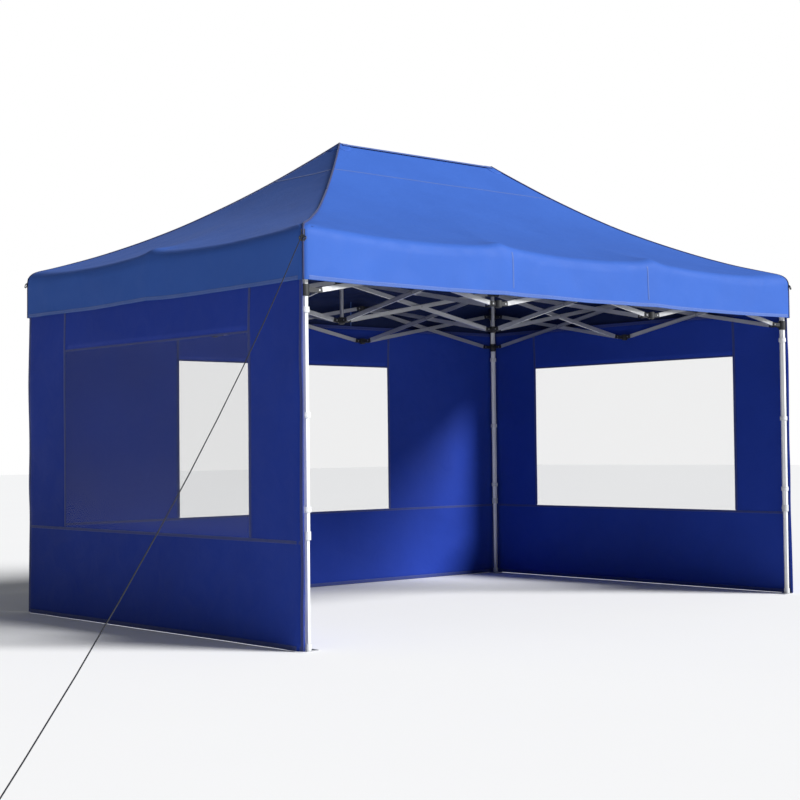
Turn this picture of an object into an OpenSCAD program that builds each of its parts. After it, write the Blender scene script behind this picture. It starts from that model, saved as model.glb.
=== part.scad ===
// Pop up gazebo: folding scissor frame, telescopic legs, fabric roof, three window walls, one guy rope.
// Millimetres, +Z up, origin on the ground at the centre of the four legs, X along the long side, open long side at -Y.

/* [Footprint] */
// Leg centre to leg centre along the long side
frame_len = 4410; // [4200:10:4600]
// Leg centre to leg centre along the short side
frame_wid = 2970; // [2970:10:2970]
// Distance of the two inner long-side nodes from the middle
node_mid_x = 720; // [720:10:720]

/* [Heights] */
// Height of the upper pivot pins, all in one plane
pin_upper_z = 2210; // [2210:5:2220]
// Vertical distance between upper and lower pins when open
pin_gap_z = 260; // [250:5:270]
// Height of the fold between roof and valance
eave_z = 2300; // [2300:5:2400]
// Height of the ridge
ridge_z = 3150; // [3150:10:3300]

/* [Scissor bars] */
// Width of a bar's section
bar_w = 28; // [24:1:30]
// Thickness of a bar's section
bar_t = 12; // [10:1:12]
// Wall of a bar's tube
bar_wall = 1.2; // [0.8:0.1:2]
// Distance of a bar's middle plane from the rail's middle plane
bar_ply = 8; // [8:0.5:9]
// Radius of the pivot rivets
rivet_r = 3; // [2.5:0.5:3.5]
// Radial clearance of a bar on its rivet
rivet_gap = 0.06; // [0.03:0.01:0.1]

/* [Hubs and brackets] */
// Distance from a hub's centre to its pins
hub_reach = 45; // [45:1:46]
// Distance from a leg's centre to the pins of its bracket and slider
leg_reach = 90; // [90:1:91]
// Radius of a hub's core
hub_core_r = 23; // [22:1:25]
// Thickness of a fork cheek
cheek_t = 4; // [3:0.5:5]
// Side clearance of a bar in its fork
fork_gap = 0.3; // [0.3:0.1:0.5]

/* [Legs] */
// Outer leg tube across its flats
leg_af = 34; // [33:1:36]
// Inner leg tube across its flats
inner_af = 28; // [26:1:28]
// Wall of both leg tubes
leg_wall = 1.4; // [1:0.1:1.5]
// Lower end of the outer tube
outer_leg_z = 600; // [560:10:640]
// Upper end of the inner tube
inner_top_z = 1150; // [1100:10:1200]
// Side of the square foot plate
foot_side = 80; // [70:5:90]
// Radius of the peg holes in a foot plate
foot_hole_r = 5; // [4:0.5:6]

/* [Masts] */
// Radius of a mast tube
mast_r = 13; // [12:0.5:13]
// Height of a mast's top
mast_top_z = 3124; // [3000:1:3126]

/* [Canopy] */
// Half length of the roof's outside at the eave
roof_half_x = 2250; // [2250:1:2260]
// Half width of the roof's outside at the eave
roof_half_y = 1530; // [1530:1:1540]
// Half length of the ridge
ridge_half_x = 722; // [720:1:730]
// Hollow of the roof's slopes, 0 for flat faces
roof_hollow = 0.55; // [0.4:0.01:0.6]
// Depth of the valance
valance_h = 300; // [260:5:300]
// Thickness of the canopy as modelled
canopy_t = 4; // [4:0.5:5]

/* [Walls] */
// Top of the walls, behind the valance
wall_top_z = 2070; // [2040:5:2080]
// Gap between the walls and the ground
wall_gap_z = 6; // [5:1:10]
// Thickness of a wall as modelled
wall_t = 3; // [2:0.5:3]

/* [Guy rope] */
// Radius of the rope
rope_r = 2.5; // [2:0.25:3]
// Radius of the peg's steel wire
peg_r = 4; // [3:0.5:5]

/* [Hidden] */
$fn = 48;
corner_x = frame_len / 2;
corner_y = frame_wid / 2;
span_x = corner_x - node_mid_x - hub_reach - leg_reach;
pin_lower_z = pin_upper_z - pin_gap_z;
bar_d = sqrt(span_x * span_x + pin_gap_z * pin_gap_z);
tilt = atan2(pin_gap_z, span_x);
hub_h = 40;
node_xs = [-corner_x, -node_mid_x, node_mid_x, corner_x];
node_ys = [-corner_y, 0, corner_y];
// middle of the rope's route: top corner of the roof down to the peg's hook
rope_route = [
    [-2262, -1540, 2235], [-2427, -1675, 2100], [-2591, -1811, 1967], [-2756, -1946, 1836],
    [-2920, -2082, 1708], [-3085, -2217, 1583], [-3249, -2353, 1460], [-3414, -2488, 1340],
    [-3578, -2624, 1223], [-3743, -2759, 1108], [-3907, -2895, 995], [-4072, -3030, 885],
    [-4236, -3166, 778], [-4401, -3301, 673], [-4565, -3437, 570], [-4730, -3572, 471],
    [-4894, -3708, 373], [-5059, -3843, 279], [-5223, -3979, 187], [-5388, -4114, 97]
];
peg_tip = [-5300, -4042, 1];
peg_head = [-5414, -4136, 104];

function is_corner(i, j) = (i == 0 || i == 3) && j != 1;
// distance from node (i, j) to its pins in direction a: the end nodes of each bay that runs in from the outline reach further
function reach(i, j, a) = is_corner(i, j) || (j == 1 && (i == 0 || i == 3) && a % 180 == 0) ? leg_reach : hub_reach;

// ---- shared shapes ----

// flat outline with a round end at the origin, running along +X
module round_end(len, w) {
    union() {
        circle(r = w / 2);
        translate([0, -w / 2]) square([len, w]);
    }
}

// plastic plug that closes one end of a bar and takes its rivet
module end_plug() {
    iw = bar_w - 2 * bar_wall - 0.3;
    it = bar_t - 2 * bar_wall - 0.3;
    difference() {
        union() {
            rotate([90, 0, 0]) translate([0, 0, -bar_t / 2]) linear_extrude(bar_t) round_end(24, bar_w);
            translate([20, -it / 2, -iw / 2]) cube([36, it, iw]);
        }
        rotate([90, 0, 0]) cylinder(r = rivet_r + rivet_gap, h = bar_t + 2, center = true);
    }
}

// scissor bar along +X, from its upper pin at the origin
module bar_body(rivet) {
    // tube
    difference() {
        translate([24.1, -bar_t / 2, -bar_w / 2]) cube([bar_d - 48.2, bar_t, bar_w]);
        translate([20, -bar_t / 2 + bar_wall, -bar_w / 2 + bar_wall])
            cube([bar_d - 40, bar_t - 2 * bar_wall, bar_w - 2 * bar_wall]);
        translate([bar_d / 2, 0, 0]) rotate([90, 0, 0])
            cylinder(r = rivet_r + rivet_gap, h = bar_t + 2, center = true);
    }
    end_plug();
    translate([bar_d, 0, 0]) rotate([0, 180, 0]) end_plug();
    if (rivet) translate([bar_d / 2, 0, 0]) rotate([90, 0, 0]) centre_rivet();
}

// rivet that joins the two bars of a pair where they cross, with a spacer between them
module centre_rivet() {
    far = 2 * bar_ply + bar_t / 2;
    translate([0, 0, -bar_t / 2 - 2.5]) cylinder(r = 6.5, h = 2.5);
    translate([0, 0, -bar_t / 2 - 0.5]) cylinder(r = rivet_r, h = far + bar_t / 2 + 1.5);
    translate([0, 0, bar_t / 2]) cylinder(r = 9, h = 2 * bar_ply - bar_t - fork_gap);
    translate([0, 0, far + fork_gap]) cylinder(r = 6.5, h = 2.5);
}

// bar of node (i, j) that leaves its upper pin in direction a
module scissor_bar(i, j, a, rivet) {
    color("silver")
        translate([node_xs[i], node_ys[j], pin_upper_z]) rotate([0, 0, a])
            translate([reach(i, j, a), bar_ply, 0]) rotate([0, tilt, 0]) bar_body(rivet);
}

// the two cheeks of one fork, along +X, its pin at distance d and its middle plane at y = c
module fork(d, c) {
    for (s = [-1, 1])
        translate([0, c + s * (bar_t / 2 + fork_gap + cheek_t / 2) + cheek_t / 2, 0]) rotate([90, 0, 0])
            linear_extrude(cheek_t) translate([d, 0]) rotate(180) round_end(d - 8, 24);
    if (d > 60)
        translate([hub_core_r, c - bar_t / 2 - fork_gap - 1, -12])
            cube([d - 17 - hub_core_r, bar_t + 2 * fork_gap + 2, 24]);
}

// the bores of one fork's cheeks
module fork_bore(d, c) {
    translate([d, c, 0]) rotate([90, 0, 0]) cylinder(r = rivet_r + 0.05, h = 40, center = true);
}

// the rivet of one fork
module fork_rivet(d, c) {
    half = bar_t / 2 + fork_gap + cheek_t;
    translate([d, c, 0]) rotate([90, 0, 0]) {
        cylinder(r = rivet_r, h = 2 * half + 1, center = true);
        for (s = [-1, 1]) translate([0, 0, s * (half + 1)]) cylinder(r = 5.5, h = 2, center = true);
    }
}

// hub with a fork in each direction of dirs; up is 1 for an upper hub and -1 for a lower one
module hub_solid(dirs, up, bore_r) {
    difference() {
        union() {
            cylinder(r = hub_core_r + (bore_r > 0 ? 2 : 0), h = hub_h, center = true);
            translate([0, 0, up * (hub_h / 2 + 2)]) cylinder(r = hub_core_r - 5, h = 4.2, center = true);
            for (a = dirs) rotate([0, 0, a[0]]) fork(a[1], up * bar_ply);
        }
        for (a = dirs) rotate([0, 0, a[0]]) fork_bore(a[1], up * bar_ply);
        if (bore_r > 0) cylinder(r = bore_r, h = hub_h + 60, center = true);
    }
    for (a = dirs) rotate([0, 0, a[0]]) fork_rivet(a[1], up * bar_ply);
}

// directions of a node's forks: along its rails, and inwards to the roof trusses
function dirs_of(i, j) =
    j == 1 ? (i == 0 ? [[0, leg_reach], [90, hub_reach], [270, hub_reach]]
            : i == 3 ? [[180, leg_reach], [90, hub_reach], [270, hub_reach]]
            : [[0, hub_reach], [90, hub_reach], [180, hub_reach], [270, hub_reach]])
    : is_corner(i, j) ? [[i == 0 ? 0 : 180, leg_reach], [j == 0 ? 90 : 270, leg_reach]]
    : [[0, hub_reach], [180, hub_reach], [j == 0 ? 90 : 270, leg_reach]];

module upper_hub(i, j) {
    color("#202124") translate([node_xs[i], node_ys[j], pin_upper_z])
        hub_solid(dirs_of(i, j), 1, (j == 1 && (i == 1 || i == 2)) ? mast_r + 2 : 0);
}

module lower_hub(i, j) {
    color("#202124") translate([node_xs[i], node_ys[j], pin_lower_z])
        hub_solid(dirs_of(i, j), -1, 0);
}

// lower peak hub with its mast, which passes up through the upper hub to the ridge
module mast(i) {
    color("#8d9095") translate([node_xs[i], 0, 0]) {
        translate([0, 0, pin_lower_z]) hub_solid(dirs_of(i, 1), -1, 0);
        difference() {
            translate([0, 0, pin_lower_z + hub_h / 2]) cylinder(r = mast_r, h = mast_top_z - 14 - pin_lower_z - hub_h / 2);
            translate([0, 0, pin_lower_z + hub_h / 2 + 10]) cylinder(r = mast_r - 1.5, h = mast_top_z);
        }
        translate([0, 0, mast_top_z - 14]) {
            cylinder(r1 = mast_r, r2 = mast_r + 1, h = 6);
            translate([0, 0, 6]) cylinder(r1 = mast_r + 1, r2 = mast_r - 5, h = 8);
        }
    }
}

module hex_bar(af, h) {
    cylinder(r = af / sqrt(3), h = h, $fn = 6);
}

// outer leg tube with its top bracket
module leg(i, j) {
    color("gainsboro") translate([node_xs[i], node_ys[j], 0]) {
        difference() {
            translate([0, 0, outer_leg_z]) hex_bar(leg_af, pin_upper_z + 58 - outer_leg_z);
            translate([0, 0, outer_leg_z - 1]) hex_bar(leg_af - 2 * leg_wall, pin_upper_z - outer_leg_z + 80);
        }
        translate([0, 0, pin_upper_z]) {
            difference() {
                union() {
                    translate([0, 0, -24]) cylinder(r = 27, h = 92);
                    translate([0, 0, 67.9]) cylinder(r1 = 27, r2 = 22, h = 5);
                    for (a = dirs_of(i, j)) rotate([0, 0, a[0]]) fork(a[1], bar_ply);
                }
                translate([0, 0, -60]) hex_bar(leg_af + 0.4, 118.2);
                for (a = dirs_of(i, j)) rotate([0, 0, a[0]]) fork_bore(a[1], bar_ply);
            }
            for (a = dirs_of(i, j)) rotate([0, 0, a[0]]) fork_rivet(a[1], bar_ply);
        }
        // collar at the lower end of the outer tube, with its spring button
        difference() {
            translate([0, 0, outer_leg_z - 4]) cylinder(r = 23, h = 46);
            translate([0, 0, outer_leg_z + 0.2]) hex_bar(leg_af + 0.4, 60);
            translate([0, 0, outer_leg_z - 10]) hex_bar(inner_af + 1, 60);
        }
        rotate([0, 0, j == 0 ? 90 : -90]) translate([22.5, 0, outer_leg_z + 20]) rotate([0, 90, 0]) cylinder(r = 7, h = 5);
    }
}

// inner leg tube with its foot, which slides up into the outer tube
module lower_leg(i, j) {
    sx = i == 0 ? 1 : -1;
    sy = j == 0 ? 1 : -1;
    color("lightgray") translate([node_xs[i], node_ys[j], 0]) {
        difference() {
            translate([0, 0, 5.2]) hex_bar(inner_af, inner_top_z - 5.2);
            translate([0, 0, 0]) hex_bar(inner_af - 2 * leg_wall, inner_top_z + 10);
        }
        difference() {
            union() {
                translate([sx > 0 ? -24 : 24 - foot_side, sy > 0 ? -24 : 24 - foot_side, 0]) cube([foot_side, foot_side, 5]);
                translate([0, 0, 4.9]) cylinder(r = 20, h = 35.1);
            }
            translate([0, 0, 5]) hex_bar(inner_af + 0.4, 60);
            for (q = [[foot_side - 36, -10], [-10, foot_side - 36]])
                translate([sx * q[0], sy * q[1], -1]) cylinder(r = foot_hole_r, h = 10);
        }
    }
}

// slider that carries the lower pins of a corner along its leg
module leg_slider(i, j) {
    color("#202124") translate([node_xs[i], node_ys[j], pin_lower_z]) {
        difference() {
            union() {
                translate([0, 0, -32]) cylinder(r = 25, h = 60);
                translate([0, 0, -36]) cylinder(r = 23, h = 4.2);
                for (a = dirs_of(i, j)) rotate([0, 0, a[0]]) fork(a[1], -bar_ply);
            }
            translate([0, 0, -60]) hex_bar(leg_af + 0.8, 120);
            for (a = dirs_of(i, j)) rotate([0, 0, a[0]]) fork_bore(a[1], -bar_ply);
        }
        for (a = dirs_of(i, j)) rotate([0, 0, a[0]]) fork_rivet(a[1], -bar_ply);
        // pull ring that frees the slider's catch
        rotate([0, 0, (i == 0 ? 0 : 180) + (i == 0 ? 1 : -1) * (j == 0 ? 45 : -45)])
            translate([24.6, 0, -14]) rotate([0, 90, 0]) {
                cylinder(r = 6, h = 6);
                translate([0, 0, 5.9]) cylinder(r = 10, h = 4);
            }
    }
}

// ---- canopy ----

function roof_z(t) = eave_z + (ridge_z - eave_z) * ((1 - roof_hollow) * t + roof_hollow * t * t);
roof_bands = 5;
seam = 0.1;
function ring(a, b, z) = [[-a, -b, z], [a, -b, z], [a, b, z], [-a, b, z]];
// outline of the roof at height t: the outside with inset 0, the inside with the cloth's thickness
function roof_ring(t, drop, inset) =
    ring(roof_half_x - inset - t * (roof_half_x - inset - ridge_half_x), roof_half_y - inset - t * (roof_half_y - inset - 6), roof_z(t) - drop);
// the hem, the eave fold and the bands above it, outside and inside
outside = concat([ring(roof_half_x, roof_half_y, eave_z - valance_h)], [for (k = [0 : roof_bands]) roof_ring(k / roof_bands, 0, 0)]);
inside = concat([ring(roof_half_x - canopy_t, roof_half_y - canopy_t, eave_z - valance_h)],
    [for (k = [0 : roof_bands]) roof_ring(k / roof_bands, canopy_t + 1, canopy_t)]);

// corner p of a panel, drawn in by half a seam from its neighbours n and m
function drawn_in(p, n, m) = p + seam / 2 * (unit(n - p) + unit(m - p));
function panel_side(lo, hi, q) =
    let (p = (q + 1) % 4, c = [lo[q], lo[p], hi[p], hi[q]])
    [for (k = [0 : 3]) drawn_in(c[k], c[(k + 1) % 4], c[(k + 3) % 4])];

// canopy of sewn panels: side q of each band, from the hem to the ridge, and the strip along the ridge
module canopy() {
    color("royalblue") {
        for (k = [0 : roof_bands], q = [0 : 3])
            polyhedron(
                points = concat(panel_side(outside[k], outside[k + 1], q), panel_side(inside[k], inside[k + 1], q)),
                faces = [[0, 3, 2, 1], [4, 5, 6, 7], [0, 1, 5, 4], [1, 2, 6, 5], [2, 3, 7, 6], [3, 0, 4, 7]]);
        translate([-ridge_half_x + seam, -6 + seam, ridge_z - canopy_t - 1])
            cube([2 * (ridge_half_x - seam), 12 - 2 * seam, canopy_t + 1]);
    }
}

// ---- walls ----

module side_wall(s) {
    color("mediumblue") translate([s * (corner_x + 32) - wall_t / 2, -corner_y - 22, wall_gap_z])
        cube([wall_t, frame_wid + 44, wall_top_z - wall_gap_z]);
}
module left_wall() { side_wall(-1); }
module right_wall() { side_wall(1); }
module back_wall() {
    color("mediumblue") translate([-corner_x - 26, corner_y + 32 - wall_t / 2, wall_gap_z])
        cube([frame_len + 52, wall_t, wall_top_z - wall_gap_z]);
}

// ---- guy rope and peg ----

function unit(v) = v / norm(v);
function tangent(p, k) = unit(p[min(k + 1, len(p) - 1)] - p[max(k - 1, 0)]);
module sweep(path, r, sides) {
    n = len(path);
    pts = [for (k = [0 : n - 1])
        let (t = tangent(path, k), u = unit(cross(t, [0, 0, 1])), v = cross(t, u))
        for (s = [0 : sides - 1]) path[k] + r * (cos(360 * s / sides) * u + sin(360 * s / sides) * v)];
    polyhedron(points = pts, faces = concat(
        [[for (s = [0 : sides - 1]) s]],
        [for (k = [0 : n - 2], s = [0 : sides - 1])
            let (q = (s + 1) % sides) [k * sides + s, (k + 1) * sides + s, (k + 1) * sides + q, k * sides + q]],
        [[for (s = [sides - 1 : -1 : 0]) (n - 1) * sides + s]]), convexity = 4);
}

module guy_rope() { color("#30323a") sweep(rope_route, rope_r, 8); }

// round steel peg with a turned-over head, its tip on the ground
module guy_peg() {
    v = peg_head - peg_tip;
    len = norm(v);
    color("silver") translate(peg_tip) rotate([0, acos(v[2] / len), atan2(v[1], v[0])]) {
        cylinder(r1 = 0.8, r2 = peg_r, h = 24);
        translate([0, 0, 23.9]) cylinder(r = peg_r, h = len - 35.9);
        translate([14, 0, len - 12]) rotate([90, 0, 0]) rotate([0, 0, 180]) rotate_extrude(angle = -180)
            translate([14, 0]) circle(r = peg_r);
        translate([28, 0, len - 27]) cylinder(r = peg_r, h = 15);
    }
}

// ---- one module per piece ----

module front_left_bar_a() { scissor_bar(0, 0, 0, true); }
module front_left_bar_b() { scissor_bar(1, 0, 180, false); }
module front_middle_bar_a() { scissor_bar(1, 0, 0, true); }
module front_middle_bar_b() { scissor_bar(2, 0, 180, false); }
module front_right_bar_a() { scissor_bar(2, 0, 0, true); }
module front_right_bar_b() { scissor_bar(3, 0, 180, false); }
module middle_left_bar_a() { scissor_bar(0, 1, 0, true); }
module middle_left_bar_b() { scissor_bar(1, 1, 180, false); }
module middle_centre_bar_a() { scissor_bar(1, 1, 0, true); }
module middle_centre_bar_b() { scissor_bar(2, 1, 180, false); }
module middle_right_bar_a() { scissor_bar(2, 1, 0, true); }
module middle_right_bar_b() { scissor_bar(3, 1, 180, false); }
module back_left_bar_a() { scissor_bar(0, 2, 0, true); }
module back_left_bar_b() { scissor_bar(1, 2, 180, false); }
module back_middle_bar_a() { scissor_bar(1, 2, 0, true); }
module back_middle_bar_b() { scissor_bar(2, 2, 180, false); }
module back_right_bar_a() { scissor_bar(2, 2, 0, true); }
module back_right_bar_b() { scissor_bar(3, 2, 180, false); }
module left_front_bar_a() { scissor_bar(0, 0, 90, true); }
module left_front_bar_b() { scissor_bar(0, 1, 270, false); }
module left_back_bar_a() { scissor_bar(0, 1, 90, true); }
module left_back_bar_b() { scissor_bar(0, 2, 270, false); }
module right_front_bar_a() { scissor_bar(3, 0, 90, true); }
module right_front_bar_b() { scissor_bar(3, 1, 270, false); }
module right_back_bar_a() { scissor_bar(3, 1, 90, true); }
module right_back_bar_b() { scissor_bar(3, 2, 270, false); }
module leg_front_left() { leg(0, 0); }
module leg_front_right() { leg(3, 0); }
module leg_back_left() { leg(0, 2); }
module leg_back_right() { leg(3, 2); }
module lower_leg_front_left() { lower_leg(0, 0); }
module lower_leg_front_right() { lower_leg(3, 0); }
module lower_leg_back_left() { lower_leg(0, 2); }
module lower_leg_back_right() { lower_leg(3, 2); }
module slider_front_left() { leg_slider(0, 0); }
module slider_front_right() { leg_slider(3, 0); }
module slider_back_left() { leg_slider(0, 2); }
module slider_back_right() { leg_slider(3, 2); }
module upper_hub_front_1() { upper_hub(1, 0); }
module upper_hub_front_2() { upper_hub(2, 0); }
module upper_hub_back_1() { upper_hub(1, 2); }
module upper_hub_back_2() { upper_hub(2, 2); }
module upper_hub_left() { upper_hub(0, 1); }
module upper_hub_right() { upper_hub(3, 1); }
module lower_hub_front_1() { lower_hub(1, 0); }
module lower_hub_front_2() { lower_hub(2, 0); }
module lower_hub_back_1() { lower_hub(1, 2); }
module lower_hub_back_2() { lower_hub(2, 2); }
module lower_hub_left() { lower_hub(0, 1); }
module lower_hub_right() { lower_hub(3, 1); }
module peak_hub_left() { upper_hub(1, 1); }
module peak_hub_right() { upper_hub(2, 1); }
module mast_left() { mast(1); }
module mast_right() { mast(2); }

front_left_bar_a();
front_left_bar_b();
front_middle_bar_a();
front_middle_bar_b();
front_right_bar_a();
front_right_bar_b();
middle_left_bar_a();
middle_left_bar_b();
middle_centre_bar_a();
middle_centre_bar_b();
middle_right_bar_a();
middle_right_bar_b();
back_left_bar_a();
back_left_bar_b();
back_middle_bar_a();
back_middle_bar_b();
back_right_bar_a();
back_right_bar_b();
left_front_bar_a();
left_front_bar_b();
left_back_bar_a();
left_back_bar_b();
right_front_bar_a();
right_front_bar_b();
right_back_bar_a();
right_back_bar_b();
leg_front_left();
leg_front_right();
leg_back_left();
leg_back_right();
lower_leg_front_left();
lower_leg_front_right();
lower_leg_back_left();
lower_leg_back_right();
slider_front_left();
slider_front_right();
slider_back_left();
slider_back_right();
upper_hub_front_1();
upper_hub_front_2();
upper_hub_back_1();
upper_hub_back_2();
upper_hub_left();
upper_hub_right();
lower_hub_front_1();
lower_hub_front_2();
lower_hub_back_1();
lower_hub_back_2();
lower_hub_left();
lower_hub_right();
peak_hub_left();
peak_hub_right();
mast_left();
mast_right();
canopy();
left_wall();
back_wall();
right_wall();
guy_rope();
guy_peg();
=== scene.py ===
"""Pop up gazebo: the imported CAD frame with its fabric, windows, seams, straps and guy rope in full detail."""

import bpy
import bmesh
import math
import numpy as np
from mathutils import Vector, Matrix, noise


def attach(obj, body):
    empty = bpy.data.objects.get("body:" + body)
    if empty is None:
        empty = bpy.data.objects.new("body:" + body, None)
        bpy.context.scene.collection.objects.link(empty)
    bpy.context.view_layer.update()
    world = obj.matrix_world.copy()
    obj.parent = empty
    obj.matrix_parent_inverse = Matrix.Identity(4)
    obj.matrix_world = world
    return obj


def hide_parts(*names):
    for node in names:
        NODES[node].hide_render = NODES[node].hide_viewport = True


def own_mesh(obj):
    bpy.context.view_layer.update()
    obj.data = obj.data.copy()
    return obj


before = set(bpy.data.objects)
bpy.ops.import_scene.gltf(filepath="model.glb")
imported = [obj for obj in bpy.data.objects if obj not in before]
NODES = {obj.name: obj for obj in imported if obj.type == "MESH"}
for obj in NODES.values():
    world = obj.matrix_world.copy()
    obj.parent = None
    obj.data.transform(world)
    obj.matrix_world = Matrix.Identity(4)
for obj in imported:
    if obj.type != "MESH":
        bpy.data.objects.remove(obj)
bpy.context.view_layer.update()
scene = bpy.context.scene

# ---------------------------------------------------------------- camera
YAW, PITCH, ROLL = 0.7267, 0.0304, -0.0111
d = Vector((math.sin(YAW) * math.cos(PITCH), math.cos(YAW) * math.cos(PITCH), math.sin(PITCH)))
r = Vector((math.cos(YAW), -math.sin(YAW), 0))
u = r.cross(d)
r2 = r * math.cos(ROLL) + u * math.sin(ROLL)
u2 = -r * math.sin(ROLL) + u * math.cos(ROLL)
cam_data = bpy.data.cameras.new("camera")
cam_data.lens = 70.645
cam_data.sensor_width = 36
cam_data.clip_end = 200
cam = bpy.data.objects.new("camera", cam_data)
scene.collection.objects.link(cam)
cam.matrix_world = Matrix(
    (
        (r2.x, u2.x, -d.x, -7.4553),
        (r2.y, u2.y, -d.y, -8.1586),
        (r2.z, u2.z, -d.z, 1.0874),
        (0, 0, 0, 1),
    )
)
scene.camera = cam

# ---------------------------------------------------------------- guy rope
ROUTE = [
    (-2262, -1540, 2235), (-2427, -1675, 2100), (-2591, -1811, 1967), (-2756, -1946, 1836),
    (-2920, -2082, 1708), (-3085, -2217, 1583), (-3249, -2353, 1460), (-3414, -2488, 1340),
    (-3578, -2624, 1223), (-3743, -2759, 1108), (-3907, -2895, 995), (-4072, -3030, 885),
    (-4236, -3166, 778), (-4401, -3301, 673), (-4565, -3437, 570), (-4730, -3572, 471),
    (-4894, -3708, 373), (-5059, -3843, 279), (-5223, -3979, 187), (-5388, -4114, 97),
]
ROUTE = [Vector(p) / 1000 for p in ROUTE]
rope_curve = bpy.data.curves.new("guy_cord", "CURVE")
rope_curve.dimensions = "3D"
spline = rope_curve.splines.new("POLY")
spline.points.add(len(ROUTE) - 1)
for point, p in zip(spline.points, ROUTE):
    point.co = (*p, 1)
rope_curve.bevel_depth = 0.0025
rope_curve.bevel_resolution = 3
rope_curve.use_fill_caps = True
rope = bpy.data.objects.new("guy_cord", rope_curve)
scene.collection.objects.link(rope)

# ---------------------------------------------------------------- materials


def nodes_of(name):
    m = bpy.data.materials.new(name)
    m.use_nodes = True
    t = m.node_tree
    b = t.nodes["Principled BSDF"]
    return m, t, b


def link(t, a, b):
    t.links.new(a, b)


def node(t, kind, **values):
    n = t.nodes.new(kind)
    for k, v in values.items():
        if hasattr(n, k):
            setattr(n, k, v)
        else:
            n.inputs[k].default_value = v
    return n


def ramp(t, source, low, high, a, b):
    """source from low..high to a..b, both numbers"""
    m = t.nodes.new("ShaderNodeMapRange")
    m.inputs["From Min"].default_value = low
    m.inputs["From Max"].default_value = high
    m.inputs["To Min"].default_value = a
    m.inputs["To Max"].default_value = b
    link(t, source, m.inputs["Value"])
    return m.outputs["Result"]


def tinted(t, fac, c1, c2):
    m = t.nodes.new("ShaderNodeMix")
    m.data_type = "RGBA"
    m.inputs["A"].default_value = (*c1, 1)
    m.inputs["B"].default_value = (*c2, 1)
    for s in m.inputs:
        if s.name == "Factor" and s.type == "VALUE":
            link(t, fac, s)
            break
    return [o for o in m.outputs if o.type == "RGBA"][0]


def bump(t, b, height, distance, strength=1.0, below=None):
    n = t.nodes.new("ShaderNodeBump")
    n.inputs["Strength"].default_value = strength
    n.inputs["Distance"].default_value = distance
    link(t, height, n.inputs["Height"])
    if below is not None:
        link(t, below, n.inputs["Normal"])
    return n.outputs["Normal"]


def solid_material(name, color, rough, metallic=0.0, scale=55.0, var=0.12, fine=0.0002, wear=0.05, stretch=(1, 1, 1), specular=0.5, low_dirt=False):
    """metal, enamel or moulded plastic: cloudy colour, scuffs in the roughness, a fine surface bump"""
    m, t, b = nodes_of(name)
    co = node(t, "ShaderNodeTexCoord")
    mp = t.nodes.new("ShaderNodeMapping")
    mp.inputs["Scale"].default_value = stretch
    link(t, co.outputs["Object"], mp.inputs["Vector"])
    n1 = node(t, "ShaderNodeTexNoise", Scale=scale, Detail=5.0, Roughness=0.6)
    n2 = node(t, "ShaderNodeTexNoise", Scale=scale * 6, Detail=3.0, Roughness=0.65)
    n3 = node(t, "ShaderNodeTexNoise", Scale=6.0, Detail=3.0)
    link(t, mp.outputs[0], n1.inputs["Vector"])
    link(t, mp.outputs[0], n2.inputs["Vector"])
    link(t, co.outputs["Object"], n3.inputs["Vector"])
    dark = tuple(c * (1 - var) for c in color)
    light = tuple(min(1, c * (1 + var * 0.6) + 0.004) for c in color)
    base = tinted(t, ramp(t, n3.outputs["Fac"], 0.35, 0.65, 0, 1), dark, light)
    if low_dirt:
        sep = t.nodes.new("ShaderNodeSeparateXYZ")
        link(t, co.outputs["Object"], sep.inputs[0])
        fall = ramp(t, sep.outputs["Z"], 0.02, 0.35, 0.75, 0.0)
        mul = node(t, "ShaderNodeMath", operation="MULTIPLY")
        link(t, fall, mul.inputs[0])
        link(t, n1.outputs["Fac"], mul.inputs[1])
        mix = t.nodes.new("ShaderNodeMix")
        mix.data_type = "RGBA"
        mix.inputs["B"].default_value = (0.32, 0.29, 0.24, 1)
        link(t, mul.outputs[0], [s for s in mix.inputs if s.name == "Factor" and s.type == "VALUE"][0])
        link(t, base, [s for s in mix.inputs if s.name == "A" and s.type == "RGBA"][0])
        base = [o for o in mix.outputs if o.type == "RGBA"][0]
    link(t, base, b.inputs["Base Color"])
    link(t, ramp(t, n1.outputs["Fac"], 0.3, 0.7, rough - wear, rough + wear * 1.6), b.inputs["Roughness"])
    b.inputs["Metallic"].default_value = metallic
    b.inputs["Specular IOR Level"].default_value = specular
    link(t, bump(t, b, n2.outputs["Fac"], fine, 0.6), b.inputs["Normal"])
    return m


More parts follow.
